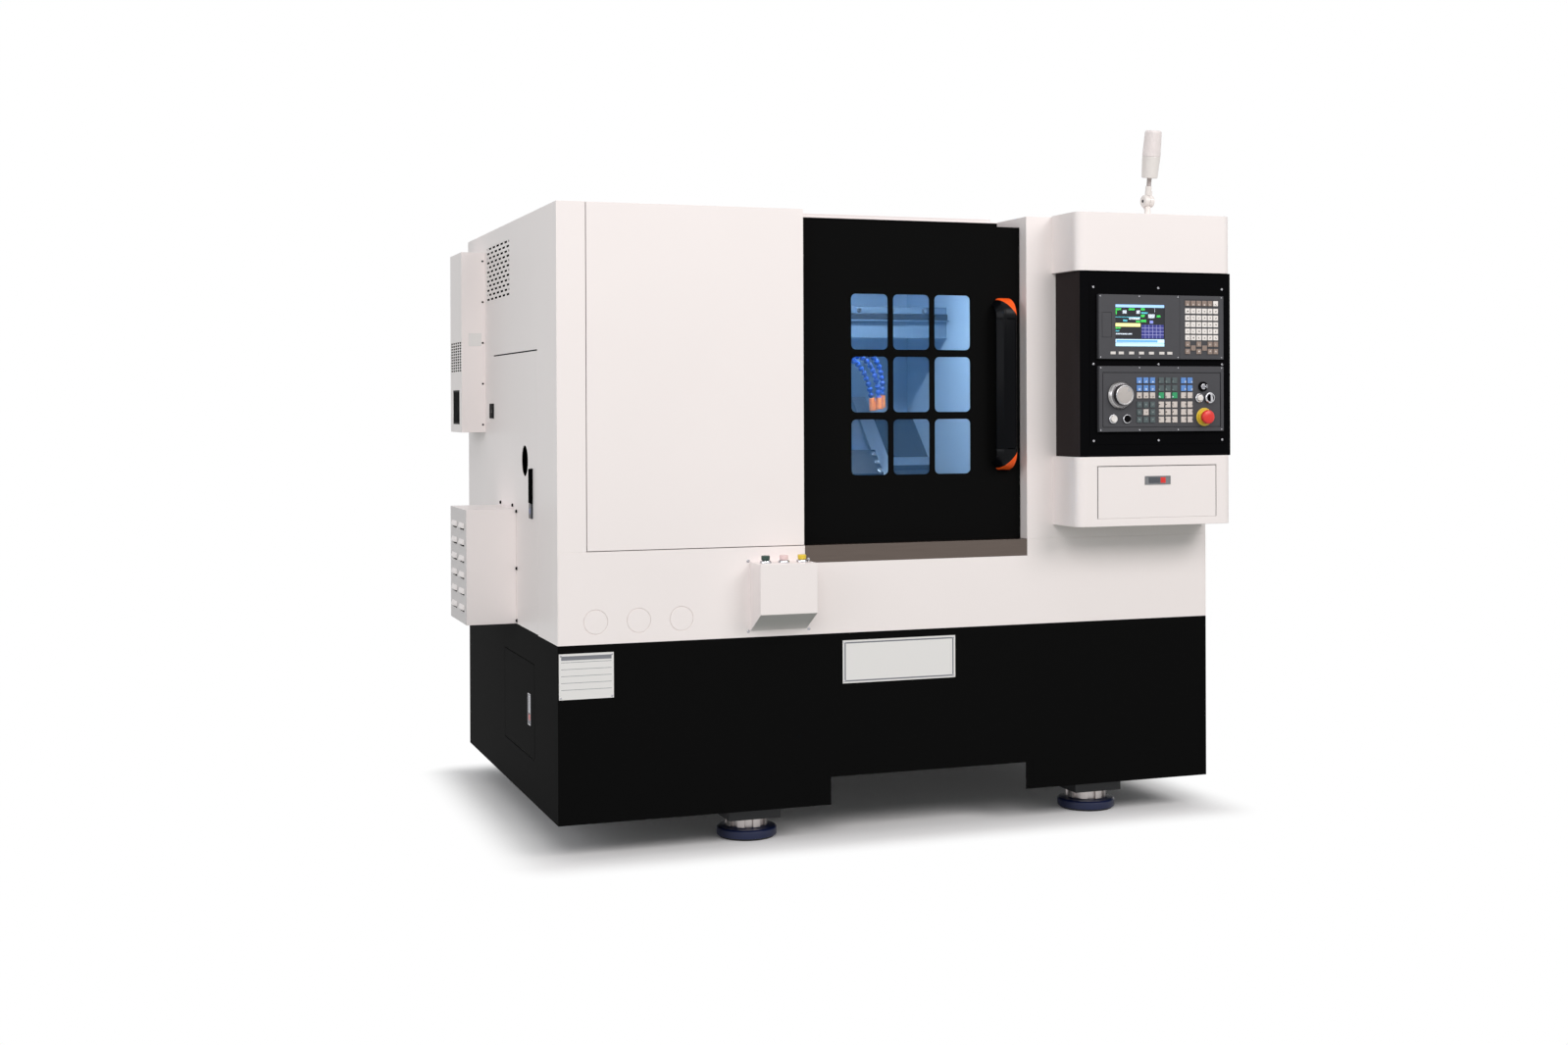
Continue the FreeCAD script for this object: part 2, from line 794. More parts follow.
for i in range(3):
    turn = math.radians(90 + 120 * i)
    along, side = (math.cos(turn), math.sin(turn)), (-math.sin(turn), math.cos(turn))
    corners = []
    for out, across in [(S.jaw_inner, -0.5), (S.jaw_inner + S.jaw_height, -0.5),
                        (S.jaw_inner + S.jaw_height, 0.5), (S.jaw_inner, 0.5)]:
        corners.append((axis_y + out * along[0] + S.jaw_width * (across * side[0]),
                        axis_z + out * along[1] + S.jaw_width * (across * side[1])))
    jaws.polygon(*corners)
chuck.pad("YZ", chuck_x + S.chuck_length, S.jaw_reach, jaws)

# Spindle motor behind and below the headstock, its pulley on a short shaft, and the belt.
motor = Piece("spindle_motor")
half = S.motor_side / 2
frame = Outline().polygon(*[
    (motor_y + a * half + b * (half - S.motor_chamfer), motor_z + c * half + d * (half - S.motor_chamfer))
    for a, b, c, d in [(-1, 0, 0, -1), (0, -1, -1, 0), (0, 1, -1, 0), (1, 0, 0, -1),
                       (1, 0, 0, 1), (0, 1, 1, 0), (0, -1, 1, 0), (-1, 0, 0, 1)]])
motor.pad("YZ", motor_x, S.motor_length, frame)
motor_pulley = Piece("motor_pulley")
motor_pulley.pad("YZ", pulley_x, S.pulley_width,
                 Outline().many_sided(motor_y, motor_z, S.motor_pulley_radius, PAD_SIDES))
motor_pulley.pad("YZ", pulley_end, motor_x - S.fit_gap - pulley_end,
                 Outline().many_sided(motor_y, motor_z, S.motor_shaft, BUTTON_SIDES))
belt = Outline()
for skin in (S.belt_gap, S.belt_gap + S.belt_thickness):
    belt.belt(axis_y, axis_z, S.spindle_pulley_radius + skin, motor_y, motor_z, S.motor_pulley_radius + skin)
Piece("drive_belt").pad("YZ", pulley_x + S.gauge, S.pulley_width - 2 * S.gauge, belt)

# Two linear rails on the slope, and between them the ball screw in two brackets of the casting.
rail_x = place("rail_x", left + S.rail_left)
rails = Outline()
for along in (S.rail_low, S.rail_high):
    rails.rectangle(along - S.rail_width / 2, -S.bed_drop, S.rail_width, S.rail_height)
Piece("bed_rails", **slope).pad("YZ", rail_x, S.rail_length, rails)
screw_out = place("screw_out", S.screw_lift - S.bed_drop)
near, far = S.screw_across - S.screw_block_width / 2, S.screw_across + S.screw_block_width / 2
floor, crown = -S.bed_drop - S.gauge, S.screw_block_height - S.bed_drop
bracket = Outline().polygon(
    on_slope(near, floor), on_slope(far, floor), on_slope(far, crown), on_slope(near, crown))
bracket.many_sided(*on_slope(S.screw_across, screw_out), S.screw_radius + S.control_gap, BUTTON_SIDES)
for x in (rail_x, rail_x + S.rail_length - S.screw_block_length):
    casting.pad("YZ", x, S.screw_block_length, bracket)
Piece("bed_screw", **slope).pad("YZ", rail_x, S.rail_length, Outline().many_sided(
    S.screw_across, screw_out, S.screw_radius, BUTTON_SIDES))

# Saddle on four rail blocks, with two ways up the slope on its back.
saddle_x = place("saddle_x", left + S.saddle_left)
saddle_out = place("saddle_out", -S.slide_drop - S.slide_thickness - S.way_height - S.saddle_thickness)
saddle = Piece("saddle", **slope)
saddle.pad("XY", saddle_out, S.saddle_thickness,
           Outline().rectangle(saddle_x, S.saddle_low, S.saddle_width, S.saddle_high - S.saddle_low))
ways = Outline()
for x in (saddle_x + S.way_width, saddle_x + S.saddle_width - 2 * S.way_width):
    ways.rectangle(x, S.saddle_low, S.way_width, S.saddle_high - S.saddle_low)
saddle.pad("XY", saddle_out + S.saddle_thickness, S.way_height, ways)
blocks = Outline()
block_low = place("block_low", S.block_lift - S.bed_drop)
for along in (S.rail_low, S.rail_high):
    near, far = along - S.block_width / 2, along + S.block_width / 2
    rail_near = along - S.rail_width / 2 - S.fit_gap
    rail_far = along + S.rail_width / 2 + S.fit_gap
    rail_top = S.rail_height - S.bed_drop + S.fit_gap
    blocks.polygon((near, block_low), (rail_near, block_low), (rail_near, rail_top), (rail_far, rail_top),
                   (rail_far, block_low), (far, block_low), (far, saddle_out), (near, saddle_out))
for x in (saddle_x, saddle_x + S.saddle_width - S.block_length):
    saddle.pad("YZ", x, S.block_length, blocks)
nut_low = S.nut_block_lift - S.bed_drop
nut_block = Outline().rectangle(S.screw_across - S.nut_block_width / 2, nut_low,
                                S.nut_block_width, saddle_out - nut_low)
nut_block.many_sided(S.screw_across, screw_out, S.screw_radius + S.control_gap, BUTTON_SIDES)
saddle.pad("YZ", saddle_x + (S.saddle_width - S.nut_block_length) / 2, S.nut_block_length, nut_block)

# Cross slide: the gang plate with its T-slots running up the slope, and the tool block clamped on it.
slide_x = place("slide_x", left + S.slide_left)
slide_top = place("slide_top", -S.slide_drop)
cross_slide = Piece("cross_slide", **slope)
plate = Outline().rectangle(slide_x, slide_top - S.slide_thickness, S.slide_width, S.slide_thickness)
cross_slide.pad("XZ", S.slide_low, S.slide_high - S.slide_low, plate)
slots = Outline()
for i in range(int(S.slot_count.number)):
    x = slide_x + S.slide_width / 2 + (i - (S.slot_count - 1) / 2) * S.slot_pitch
    mouth, wide = S.slot_mouth / 2, S.slot_undercut / 2
    neck, floor = slide_top - S.slot_neck, slide_top - S.slot_depth
    slots.polygon((x - wide, floor), (x + wide, floor), (x + wide, neck), (x + mouth, neck),
                  (x + mouth, slide_top + 1), (x - mouth, slide_top + 1), (x - mouth, neck), (x - wide, neck))
cross_slide.pocket("XZ", S.slide_low - 1, S.slide_high - S.slide_low + 2, slots)
tool_block = Piece("tool_block", **slope)
tool_x = place("tool_x", slide_x + S.tool_left)
tool_block.pad("XY", slide_top, S.tool_height,
               Outline().rectangle(tool_x, S.tool_low, S.tool_width, S.tool_length))
for i in range(2):
    pocket_y = S.tool_low + S.tool_pocket_start + i * S.tool_pocket_pitch
    tool_block.pocket("YZ", tool_x - 1, S.tool_width + 2,
                      Outline().rectangle(pocket_y, slide_top + S.tool_pocket_lift,
                                          S.tool_pocket_width, S.tool_pocket_height))

# Welded sheet liner of the work chamber: end walls, back, ceiling and the tray that sheds the chips.
liner_x = place("liner_x", left + S.liner_left)
liner_end = place("liner_end", left + S.liner_right)
liner_y = place("liner_y", front + S.sill_depth + S.gauge)
liner_back = place("liner_back", front + S.liner_back)
liner_top = place("liner_top", skirt_z + S.liner_top)
lip_z = place("lip_z", sill_z - S.liner_front_drop)
liner = Piece("chamber_liner")
tray_line = [(liner_y, lip_z), (liner_y + S.tray_lip, S.tray_lip_height),
             (liner_y + S.tray_run, S.tray_height), (foot_y, foot_z)]
end_wall = [(liner_y, liner_top), *tray_line, (head_y, head_z), (liner_back, head_z), (liner_back, liner_top)]
nose_wall = Outline().polygon(*end_wall).circle(axis_y, axis_z, S.liner_nose_hole)
liner.pad("YZ", liner_x, S.gauge, nose_wall)
span = liner_end - liner_x - 2 * S.gauge
inside = [(across, up + S.gauge) for across, up in tray_line]
liner.pad("YZ", liner_x + S.gauge, span, Outline().strip(S.gauge, *inside))
ceiling = Outline().rectangle(liner_y, liner_top - S.gauge, liner_back - liner_y, S.gauge)
liner.pad("YZ", liner_x + S.gauge, span, ceiling)
rear_wall = Outline().rectangle(liner_back - S.gauge, head_z, S.gauge, liner_top - S.gauge - head_z)
liner.pad("YZ", liner_x + S.gauge, span, rear_wall)
liner.pad("YZ", liner_end - S.gauge, S.gauge, Outline().polygon(*end_wall))
light = Piece("work_light")
near, far = liner_y + S.light_setback, liner_y + S.light_setback + S.light_depth
light_top = liner_top - S.gauge
light.pad("YZ", (liner_x + liner_end - S.light_width) / 2, S.light_width, Outline().polygon(
    (near, light_top), (far, light_top), (far - S.light_slant, light_top - S.light_height),
    (near + S.light_slant, light_top - S.light_height)))

# Folded left side panel with the corner strip of the front, the side door's opening and the vents.
side_door_y = place("side_door_y", front + S.side_door_setback)
side_door_end = place("side_door_end", side_door_y + S.side_door_width)
side_door_top = place("side_door_top", belt_z + S.side_door_height)
left_panel = Piece("left_panel")
sheet_side = Outline().polygon(
    (front, belt_z), (side_door_y, belt_z), (side_door_y, side_door_top), (side_door_end, side_door_top),
    (side_door_end, belt_z), (back, belt_z), (back, top_z), (front, top_z))
left_panel.pad("YZ", left, S.gauge, sheet_side)
left_panel.pad("XZ", front, S.gauge, Outline().rectangle(
    inner_left, sill_z, S.corner_strip - S.gauge, S.upper_height))
for rise in (S.hinge_tag_rise, S.hinge_tag_low):
    left_panel.pad("YZ", left - S.gauge, S.gauge, Outline().rectangle(
        side_door_end + S.panel_seam, skirt_z + rise, S.hinge_tag_width, S.hinge_tag_height))
vent_pitch = S.vent_span / S.vent_slots
vent_row = S.vent_height / (2 * S.vent_rows)
vents = Outline()
for line in range(2):
    for i in range(int(S.vent_slots.number)):
        vents.rectangle(front + S.vent_back + i * vent_pitch + line * S.vent_stagger,
                        skirt_z + S.vent_rise + line * vent_row, S.vent_slot_width, S.vent_slot_height)
left_panel.pocket("YZ", left - 1, S.gauge + 2, vents)
left_panel.repeat("Z", S.vent_height - 2 * vent_row, S.vent_rows)

# Side door over the headstock end, hinged at its back edge: hole for bar stock, recess for the flush
# lever, and the motor's louvred vent box on its outside.
side_door = Piece("side_door")
leaf = Outline().rectangle(side_door_y + S.panel_seam, belt_z + S.panel_seam,
                           S.side_door_width - S.panel_seam - S.fit_gap, S.side_door_height - 2 * S.panel_seam)
side_door.pad("YZ", left, S.gauge, leaf.circle(axis_y, axis_z, S.bar_hole_radius))
lever_y = place("lever_y", front + S.lever_setback - S.lever_width / 2)
lever_z = place("lever_z", skirt_z + S.lever_bottom)
pan = Outline().rectangle(lever_y - S.gauge, lever_z - S.gauge,
                          S.lever_width + 2 * S.gauge, S.lever_height + 2 * S.gauge)
side_door.pad("YZ", inner_left, S.lever_pocket, pan)
recess = Outline().rectangle(lever_y, lever_z, S.lever_width, S.lever_height)
side_door.pocket("YZ", left - 1, S.lever_pocket + 1, recess)
lever = Piece("side_door_lever")
lever.pad("YZ", left, S.lever_pocket - S.panel_seam, Outline().rectangle(
    lever_y + S.lever_gap, lever_z + S.fit_gap,
    S.lever_width - 2 * S.lever_gap, S.lever_height - S.lever_gap - S.fit_gap))
lever.fillet(S.lever_edge, lambda edge: upright(edge) and edge.CenterOfMass.x < left.number + 1)
vent_box_y = place("vent_box_y", front + S.vent_box_setback)
vent_box_z = place("vent_box_z", belt_z + S.panel_seam)
vent_box = Piece("vent_box")
hood_x = left - S.vent_box_reach + S.louvre_reach
vent_box.pad("YZ", hood_x, S.vent_box_reach - S.louvre_reach, Outline().rectangle(
    vent_box_y, vent_box_z, S.vent_box_depth, S.vent_box_height))
vent_box.pocket("YZ", hood_x + S.gauge, S.vent_box_reach, Outline().rectangle(
    vent_box_y + S.gauge, vent_box_z + S.gauge,
    S.vent_box_depth - 2 * S.gauge, S.vent_box_height - 2 * S.gauge))
louvre_pitch = S.vent_box_height / (S.louvre_rows + 1)
hood_z = vent_box_z + louvre_pitch - S.louvre_height / 2
for i in range(2):
    hood_y = vent_box_y + S.louvre_setback + i * S.louvre_pitch_across
    hood = Outline().polygon((hood_x, hood_z), (hood_x, hood_z + S.louvre_height),
                             (hood_x - S.louvre_reach, hood_z + S.panel_seam))
    vent_box.pad("XZ", hood_y, S.louvre_width, hood)
    vent_box.repeat("Z", louvre_pitch * (S.louvre_rows - 1), S.louvre_rows)

# Cabinet cooler on the left side, with its hole field and the black grille below it.
cooler_y = place("cooler_y", front + S.cooler_setback)
cooler_z = place("cooler_z", skirt_z + S.cooler_rise)
cooler_x = place("cooler_x", left - S.cooler_reach)
cooler = Piece("cooler")
cooler.pad("YZ", cooler_x, S.cooler_reach, Outline().rectangle(
    cooler_y, cooler_z, S.cooler_depth, S.cooler_height))
cooler.pocket("YZ", cooler_x + S.gauge, S.cooler_reach, Outline().rectangle(
    cooler_y + S.gauge, cooler_z + S.gauge, S.cooler_depth - 2 * S.gauge, S.cooler_height - 2 * S.gauge))
grille_y = place("grille_y", cooler_y + S.grille_setback)
grille_z = place("grille_z", cooler_z + S.grille_rise)
cooler.pocket("YZ", cooler_x - 1, S.gauge + 2, Outline().rectangle(
    grille_y, grille_z, S.grille_width, S.grille_height))
holes = Outline()
for i in range(int(S.cooler_hole_columns.number)):
    holes.rectangle(cooler_y + S.cooler_hole_setback + i * S.cooler_hole_pitch,
                    cooler_z + S.cooler_hole_rise, S.cooler_hole_width, S.cooler_hole_height)
cooler.pocket("YZ", cooler_x - 1, S.gauge + 2, holes)
cooler.repeat("Z", S.cooler_hole_span, S.cooler_hole_rows)
grille = Piece("cooler_grille")
bars = Outline().rectangle(grille_y, grille_z, S.grille_width, S.grille_height)
bar = S.grille_height / (2 * S.grille_bars + 1)
for i in range(int(S.grille_bars.number)):
    bars.rectangle(grille_y + bar, grille_z + bar * (2 * i + 1), S.grille_width - 2 * bar, bar)
grille.pad("YZ", cooler_x + 1, S.gauge, bars)

# Fascia under the headstock cover and the door: a folded sheet with a flange along its top.
fascia = Piece("fascia")
sill_x = place("sill_x", left + S.sill_left)
column_x = place("column_x", left + S.column_left)
sill_low = place("sill_low", sill_z - S.sill_height)
fascia.pad("XZ", front, S.gauge, Outline().polygon(
    (inner_left, belt_z), (inner_right, belt_z), (inner_right, sill_z), (column_x, sill_z),
    (column_x, sill_low), (sill_x, sill_low), (sill_x, sill_z), (inner_left, sill_z)))
fascia.pad("XY", sill_z - S.gauge, S.gauge, Outline().rectangle(
    inner_left, front + S.gauge, sill_x - inner_left, S.sill_depth))

# Stainless sill under the door, folded over the fascia, with the lip that guides the door's foot.
sill = Piece("door_sill")
lip_y = place("lip_y", front + S.sill_depth)
sill.pad("YZ", sill_x, column_x - sill_x, Outline().polygon(
    (front, sill_low), (front + S.gauge, sill_low), (front + S.gauge, sill_z - S.gauge),
    (lip_y, sill_z - S.gauge), (lip_y, lip_z), (liner_y, lip_z), (liner_y, sill_z + S.sill_lip),
    (lip_y, sill_z + S.sill_lip), (lip_y, sill_z), (front, sill_z)))

# Door header: the upper guide behind the door, the shelf of the recess and the upstand under the roof.
header = Piece("door_header")
header_z = place("header_z", skirt_z + S.door_top)
shelf_y = place("shelf_y", front + S.recess_depth)
header.pad("YZ", left + S.corner_strip, S.column_left - S.corner_strip, Outline().polygon(
    (lip_y, header_z - S.guide_drop), (liner_y, header_z - S.guide_drop), (liner_y, header_z - S.gauge),
    (shelf_y, header_z - S.gauge), (shelf_y, top_z - S.gauge), (shelf_y - S.gauge, top_z - S.gauge),
    (shelf_y - S.gauge, header_z), (lip_y, header_z)))

# Headstock cover: the fixed white front panel that the door slides behind.
cover = Piece("headstock_cover")
cover_x = place("cover_x", left + S.corner_strip + S.panel_seam)
cover_z = place("cover_z", sill_z + S.panel_seam)
cover_wide = place("cover_wide", left + S.cover_right - cover_x)
cover_high = place("cover_high", top_z - cover_z)
cover.pad("XZ", front, S.cover_depth, Outline().rectangle(cover_x, cover_z, cover_wide, cover_high))
cover.pocket("XZ", front + S.gauge, S.cover_depth, Outline().rectangle(
    cover_x + S.gauge, cover_z + S.gauge, cover_wide - 2 * S.gauge, cover_high - 2 * S.gauge))

# Right column and side in one folded sheet: the door shuts against the column's left return, which
# is notched round the ceiling of the chamber and under the roof.
column = Piece("right_panel")
recess_y = place("recess_y", shelf_y - S.gauge)
column.pad("XZ", front, S.gauge, Outline().rectangle(
    column_x, sill_z, right - column_x, S.upper_height))
column.pad("YZ", column_x, S.gauge, Outline().polygon(
    (front + S.gauge, sill_z), (shelf_y, sill_z), (shelf_y, liner_top - S.gauge),
    (liner_y, liner_top - S.gauge), (liner_y, liner_top), (shelf_y, liner_top),
    (shelf_y, top_z - S.gauge), (recess_y, top_z - S.gauge), (recess_y, top_z), (front + S.gauge, top_z)))
column.pad("YZ", inner_right, S.gauge, Outline().polygon(
    (front, belt_z), (back, belt_z), (back, top_z), (front + S.gauge, top_z),
    (front + S.gauge, sill_z), (front, sill_z)))

# Rear panel with the opening of the electrical cabinet, and that cabinet's door.
rear_x = place("rear_x", left + S.rear_door_left)
rear_z = place("rear_z", belt_z + S.rear_door_rise)
rear = Piece("rear_panel")
rear.pad("XZ", inner_back, S.gauge, Outline().rectangle(
    inner_left, belt_z, inner_right - inner_left, top_z - belt_z))
rear.pocket("XZ", inner_back - 1, S.gauge + 2, Outline().rectangle(
    rear_x, rear_z, S.rear_door_width, S.rear_door_height))
rear_door = Piece("cabinet_door")
rear_door.pad("XZ", inner_back, S.gauge, Outline().rectangle(
    rear_x + S.panel_seam, rear_z + S.panel_seam,
    S.rear_door_width - S.panel_seam - S.fit_gap, S.rear_door_height - 2 * S.panel_seam))

# Roof sheet, notched over the door recess, with the raised cover of its hatch.
roof = Piece("roof")
roof.pad("XY", top_z - S.gauge, S.gauge, Outline().polygon(
    (inner_left, front + S.cover_depth), (cover_x + cover_wide, front + S.cover_depth),
    (cover_x + cover_wide, recess_y), (column_x + S.gauge, recess_y), (column_x + S.gauge, front + S.gauge),
    (inner_right, front + S.gauge), (inner_right, inner_back), (inner_left, inner_back)))
hatch_x = place("hatch_x", cover_x + cover_wide + S.hatch_left_gap)
roof.pad("XY", top_z, S.hatch_height, Outline().rectangle(
    hatch_x, shelf_y, column_x - hatch_x - S.hatch_right_gap, S.hatch_depth))

# Sliding door: a folded skin with nine round-cornered windows, the clear pane clamped behind them,
# and the bow handle with its two end caps.
door_y = place("door_y", front + S.door_plane)
door_x = place("door_x", left + S.door_left)
door_end = place("door_end", column_x - S.panel_seam)
door_low = place("door_low", sill_z + S.sliding_gap)
door_high = place("door_high", header_z - door_low)
door_wide = place("door_wide", door_end - door_x)
door = Piece("sliding_door")
door.pad("XZ", door_y, S.door_thickness, Outline().rectangle(door_x, door_low, door_wide, door_high))
door.pocket("XZ", door_y + S.gauge, S.door_thickness, Outline().rectangle(
    door_x + S.door_rim, door_low + S.door_rim, door_wide - 2 * S.door_rim, door_high - 2 * S.door_rim))
window_x = place("window_x", left + S.window_left)
window_z = place("window_z", skirt_z + S.window_bottom)
windows = Outline()
for i in range(3):
    windows.rounded(window_x + i * S.window_pitch_across, window_z,
                    S.window_width, S.window_height, S.window_radius)
door.pocket("XZ", door_y - 1, S.gauge + 2, windows)
door.repeat("Z", 2 * S.window_pitch_up, 3)
pane = Piece("door_window")
pane.pad("XZ", door_y + S.gauge, S.pane_thickness, Outline().rectangle(
    window_x - S.pane_margin, window_z - S.pane_margin,
    2 * S.window_pitch_across + S.window_width + 2 * S.pane_margin,
    2 * S.window_pitch_up + S.window_height + 2 * S.pane_margin))
handle_x = place("handle_x", left + S.handle_left)
handle_z = place("handle_z", skirt_z + S.handle_bottom)
handle_top = place("handle_top", handle_z + S.handle_height)
grip_y = place("grip_y", door_y - S.handle_reach)
handle = Piece("door_handle")
handle.pad("YZ", handle_x, S.handle_width, Outline().polygon(
    (grip_y, handle_z + S.handle_cap), (grip_y + S.handle_grip, handle_z + S.handle_cap),
    (grip_y + S.handle_grip, handle_top - S.handle_cap), (grip_y, handle_top - S.handle_cap)))
handle.fillet(S.handle_edge, lambda edge: upright(edge) and edge.CenterOfMass.y < grip_y.number + 1)
caps = Outline()
for end, inward in ((handle_z, 1), (handle_top, -1)):
    caps.polygon((door_y, end), (door_y, end + inward * S.cap_foot),
                 (grip_y + S.handle_grip, end + inward * S.handle_cap), (grip_y, end + inward * S.handle_cap),
                 (grip_y + S.cap_inner, end + inward * S.cap_foot),
                 (grip_y + S.handle_grip, end + inward * S.cap_corner))
Piece("handle_caps").pad("YZ", handle_x, S.handle_width, caps)

# Button box on the fascia: a folded box with its underside sloped back, open behind, and the three
# round buttons on its top, each sliding down through a hole.
box_x = place("box_x", left + S.button_box_left)
box_y = place("box_y", front - S.button_box_reach)
box_z = place("box_z", skirt_z + S.button_box_bottom)
box_top = place("box_top", box_z + S.button_box_height)
button_box = Piece("button_box")
button_box.pad("YZ", box_x, S.button_box_width, Outline().polygon(
    (front, box_z), (front, box_top), (box_y, box_top), (box_y, box_z + S.button_box_slope)))
button_box.pocket("YZ", box_x + S.gauge, S.button_box_width - 2 * S.gauge, Outline().polygon(
    (front + 1, box_z + 2 * S.gauge), (front + 1, box_top - S.gauge), (box_y + S.gauge, box_top - S.gauge),
    (box_y + S.gauge, box_z + S.button_box_slope + S.gauge)))
button_y = place("button_y", front - S.button_box_reach / 2)
button_x = [box_x + S.button_box_width / 2 + i * S.box_button_pitch for i in (-1, 0, 1)]
button_holes = Outline()
for x in button_x:
    button_holes.many_sided(x, button_y, S.box_button_radius + S.control_gap, BUTTON_SIDES)
button_box.pocket("XY", box_top - S.gauge - 1, S.gauge + 2, button_holes)
for name, x in zip(("box_start_button", "box_stop_button", "box_lock_button"), button_x):
    Piece(name).pad("XY", box_top - S.stem_length, S.stem_length + S.box_button_height,
                    Outline().many_sided(x, button_y, S.box_button_radius, BUTTON_SIDES))

# Control cabinet on the front of the right column: a white housing below and above, both with
# rounded front corners, and the black box with the controls between them.
control_x = place("control_x", left + S.control_left)
control_wide = place("control_wide", right - S.control_right_inset - control_x)
control_y = place("control_y", front - S.control_depth)
housing_y = place("housing_y", control_y - S.housing_proud)
housing_deep = place("housing_deep", S.control_depth + S.housing_proud)
lower_z = place("lower_z", skirt_z + S.lower_housing_rise)
control_z = place("control_z", skirt_z + S.control_rise)
control_top = place("control_top", control_z + S.control_height)
flap_x = place("flap_x", left + S.flap_left)
flap_z = place("flap_z", skirt_z + S.flap_rise)


def front_corner(edge):
    """True for the two upright edges at a housing's front corners."""
    middle = edge.CenterOfMass.x
    outer = min(middle - control_x.number, control_x.number + control_wide.number - middle)
    return upright(edge) and edge.CenterOfMass.y < housing_y.number + 1 and outer < 1


lower = Piece("lower_housing")
lower.pad("XY", lower_z, S.lower_housing_height, Outline().rectangle(
    control_x, housing_y, control_wide, housing_deep))
lower.fillet(S.housing_radius, front_corner)
lower.pocket("XZ", housing_y - 1, housing_deep - S.gauge + 1, Outline().rectangle(
    flap_x, flap_z, S.flap_width, S.flap_height))
upper = Piece("upper_housing")
upper.pad("XY", control_top, S.upper_housing_height, Outline().rectangle(
    control_x, housing_y, control_wide, housing_deep))
upper.fillet(S.housing_radius, front_corner)
upper.pocket("XY", control_top - 1, S.upper_housing_height - S.gauge + 1, Outline().rectangle(
    control_x + S.housing_radius, housing_y + S.gauge, control_wide - 2 * S.housing_radius,
    housing_deep - 2 * S.gauge))

# Folding flap of the tray in the lower housing, hinged along its foot, with its flush latch.
latch_x = place("latch_x", flap_x + (S.flap_width - S.flap_latch_width) / 2)
flap_latch_z = place("flap_latch_z", flap_z + S.flap_latch_rise)
flap_latch_outline = Outline().rectangle(latch_x, flap_latch_z, S.flap_latch_width, S.flap_latch_height)
flap = Piece("tray_flap")
flap.pad("XZ", housing_y, S.gauge, Outline().rectangle(
    flap_x + S.panel_seam, flap_z + S.fit_gap,
    S.flap_width - 2 * S.panel_seam, S.flap_height - S.panel_seam - S.fit_gap))
flap.pocket("XZ", housing_y - 1, S.gauge + 2, flap_latch_outline)
flap_latch = Piece("flap_latch")
flap_latch.pad("XZ", housing_y - S.latch_proud, 2 * S.gauge + S.latch_proud, flap_latch_outline)
flap_latch.pocket("XZ", housing_y - S.latch_proud - 1, S.latch_proud + 1, Outline().rectangle(
    latch_x + S.latch_rim, flap_latch_z + S.latch_rim,
    S.flap_latch_width / 3, S.flap_latch_height - 2 * S.latch_rim))

# Black control box, open behind.
panel_x = place("panel_x", left + S.unit_left)
panel_z = place("panel_z", skirt_z + S.panel_rise)
face_y = place("face_y", control_y - S.bezel_depth)
controls = {
    "handwheel": (S.wheel_across, S.wheel_rise, S.stem_radius),
    "start_button": (S.start_across, S.button_rise, S.button_radius),
    "hold_button": (S.hold_across, S.button_rise, S.button_radius),
    "emergency_stop": (S.stop_across, S.stop_rise, S.stem_radius),
    "key_switch": (S.key_switch_across, S.key_switch_rise, S.button_radius),
    "selector": (S.selector_across, S.selector_rise, S.stem_radius),
}
box = Piece("control_box")
box.pad("XY", control_z, S.control_height, Outline().rectangle(
    control_x + S.control_inset, control_y, control_wide - S.control_inset, S.control_depth))
box.pocket("XY", control_z + S.gauge, S.control_height - 2 * S.gauge, Outline().rectangle(
    control_x + S.control_inset + S.gauge, control_y + S.gauge,
    control_wide - S.control_inset - 2 * S.gauge, S.control_depth - S.gauge + 1))

# Numerical control unit: bezel, sunk screen, keypad and the row of keys under the screen.
unit_z = place("unit_z", skirt_z + S.unit_rise)
unit = Piece("cnc_unit")
unit.pad("XZ", face_y, S.bezel_depth,
         Outline().rectangle(panel_x, unit_z, S.unit_width, S.unit_height))
unit.fillet(S.bezel_edge, lambda edge: edge.CenterOfMass.y < face_y.number + 1, "Chamfer")
screen_outline = Outline().rectangle(
    panel_x + S.screen_left, unit_z + S.screen_rise, S.screen_width, S.screen_height)
unit.pocket("XZ", face_y - 1, S.screen_sink + 1, screen_outline)
key_y = place("key_y", face_y - S.key_depth)


def key_row(first_x, low, wide, high, pitch, count):
    """One row of key tops, count of them from first_x on."""
    row = Outline()
    for i in range(int(count.number)):
        row.rectangle(first_x + i * pitch, low, wide, high)
    return row


unit.pad("XZ", key_y, S.key_depth, key_row(
    panel_x + S.soft_key_left, unit_z + S.soft_key_rise, S.soft_key_width, S.soft_key_height,
    S.soft_key_pitch, S.soft_keys))
unit.pad("XZ", key_y, S.key_depth, key_row(
    panel_x + S.keypad_left, unit_z + S.keypad_rise, S.key_side, S.key_side, S.keypad_pitch, S.keypad_columns))
unit.repeat("Z", (S.keypad_rows - 1) * S.keypad_pitch, S.keypad_rows)

